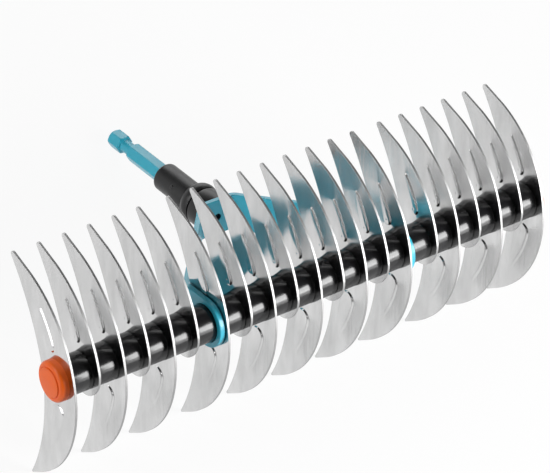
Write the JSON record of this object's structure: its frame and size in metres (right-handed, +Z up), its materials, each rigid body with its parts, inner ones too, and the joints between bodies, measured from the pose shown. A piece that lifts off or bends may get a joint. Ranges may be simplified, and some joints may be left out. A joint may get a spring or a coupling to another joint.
{
  "type": "scarifying rake head",
  "caption": "Swinging scarifying rake head: curved steel blades on an axle between spacer tubes, in a bent yoke with a hexagonal plug-in shank.",
  "frame": {"origin": "on the floor under the middle of the head's box, as the head lies on its long blades' tips and the shank's end", "axes": "+X along the axle to the right, +Y from the blades back towards the shank, +Z up"},
  "size_m": [0.3634, 0.2128, 0.123],
  "materials": {
    "blade_steel": "rolled stainless sheet, brightly polished, fine lengthwise grain",
    "tube_black": "glossy black plastic tube with soft handling marks",
    "zinc_steel": "zinc plated",
    "cap_orange": "satin orange moulding",
    "turquoise_paint": "powder coat with a slight orange peel",
    "neck_black": "finely textured matte black moulding"
  },
  "bodies": {
    "frame": {"yoke": "turquoise_paint", "collar": "neck_black", "sleeve": "neck_black", "shank": "turquoise_paint"},
    "blade_set": {"blade_01": "blade_steel", "blade_02": "blade_steel", "blade_03": "blade_steel", "blade_04": "blade_steel", "blade_05": "blade_steel", "blade_06": "blade_steel", "blade_07": "blade_steel", "blade_08": "blade_steel", "blade_09": "blade_steel", "blade_10": "blade_steel", "blade_11": "blade_steel", "blade_12": "blade_steel", "blade_13": "blade_steel", "blade_14": "blade_steel", "blade_15": "blade_steel", "blade_16": "blade_steel", "blade_17": "blade_steel", "blade_18": "blade_steel", "blade_19": "blade_steel", "blade_20": "blade_steel", "blade_21": "blade_steel", "tube_01": "tube_black", "tube_02": "tube_black", "tube_03": "tube_black", "tube_04": "tube_black", "tube_05": "tube_black", "tube_06": "tube_black", "tube_07": "tube_black", "tube_08": "tube_black", "tube_09": "tube_black", "tube_10": "tube_black", "tube_11": "tube_black", "tube_12": "tube_black", "tube_13": "tube_black", "tube_14": "tube_black", "tube_15": "tube_black", "tube_16": "tube_black", "tube_17": "tube_black", "tube_18": "tube_black", "bearing_tube_1": "tube_black", "bearing_tube_2": "tube_black", "tie_rod": "zinc_steel", "nut_left": "zinc_steel", "nut_right": "zinc_steel", "cap_left": "cap_orange", "cap_right": "cap_orange"}
  },
  "joints": [
    {"name": "blade_swing", "type": "hinge", "parent": "frame", "child": "blade_set", "pos_m": [0, -0.07773, 0.08409], "axis": [1, 0, 0], "range_deg": [0, 25]}
  ]
}
